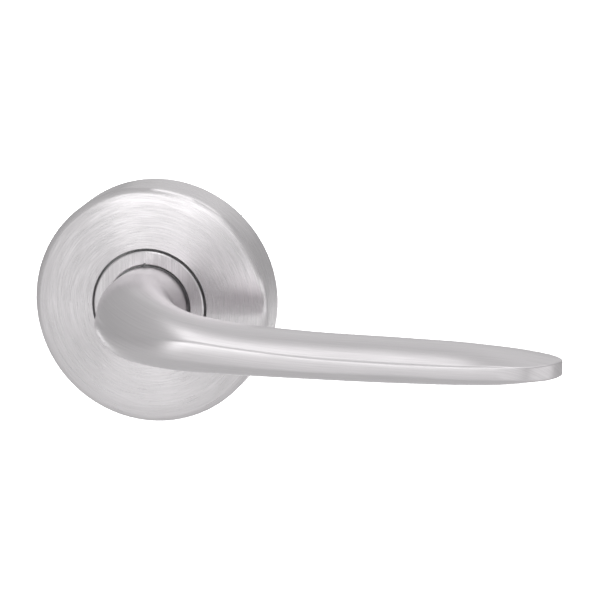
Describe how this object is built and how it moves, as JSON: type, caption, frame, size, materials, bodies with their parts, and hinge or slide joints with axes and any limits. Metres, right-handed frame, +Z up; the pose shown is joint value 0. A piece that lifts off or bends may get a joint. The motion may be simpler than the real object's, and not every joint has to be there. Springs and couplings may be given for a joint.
{
  "type": "lever handle lockset",
  "caption": "Sprung door lever on a round rose: a tapered satin lever with a round elbow, a trim ring, return spring, square spindle, and posts for through-bolts.",
  "frame": {"origin": "centre of the rose's back, on the spindle axis, in the plane of the door's face", "axes": "+Y into the door along the spindle, so the room is on the -Y side; +Z up; +X along the lever, from the spindle to the tip"},
  "size_m": [0.1524, 0.1155, 0.065],
  "materials": {
    "lever_satin_chrome": "satin chrome, brushed along the arm",
    "rose_satin_chrome": "satin chrome, brushed in circles",
    "ring_satin_chrome": "satin chrome, brushed straight up and down",
    "cast_zinc": "as-cast zinc alloy",
    "plated_steel": "zinc-plated steel",
    "spring_steel": "drawn spring steel, lightly oiled",
    "black_steel": "black oxide",
    "acetal": "natural acetal",
    "nylon": "grey-black moulded nylon",
    "nitrile": "black nitrile rubber"
  },
  "bodies": {
    "rose_assembly": {"rose_cover": "rose_satin_chrome", "trim_ring": "ring_satin_chrome", "ring_o_ring": "nitrile", "spring_housing": "cast_zinc", "mounting_plate": "plated_steel", "mounting_post_left": "plated_steel", "mounting_post_right": "plated_steel", "stop_pins": "spring_steel", "housing_screws": "plated_steel", "neck_bush": "nylon", "thrust_washer": "acetal", "back_washer": "acetal", "return_spring": "spring_steel", "rose_snap_ring": "spring_steel", "bore_adaptor": "nylon"},
    "lever_assembly": {"lever_handle": "lever_satin_chrome", "drive_tube": "plated_steel", "disc_spring": "spring_steel", "drive_circlip": "black_steel", "grub_screw": "black_steel", "spindle": "plated_steel", "spindle_pin": "spring_steel"}
  },
  "joints": [
    {"name": "lever_turn", "type": "hinge", "parent": "rose_assembly", "child": "lever_assembly", "pos_m": [0, 0, 0], "axis": [0, 1, 0], "range_deg": [-45, 45], "stiffness_Nm_per_rad": 2, "springref_deg": -3.15, "deforming": ["return_spring"]}
  ]
}
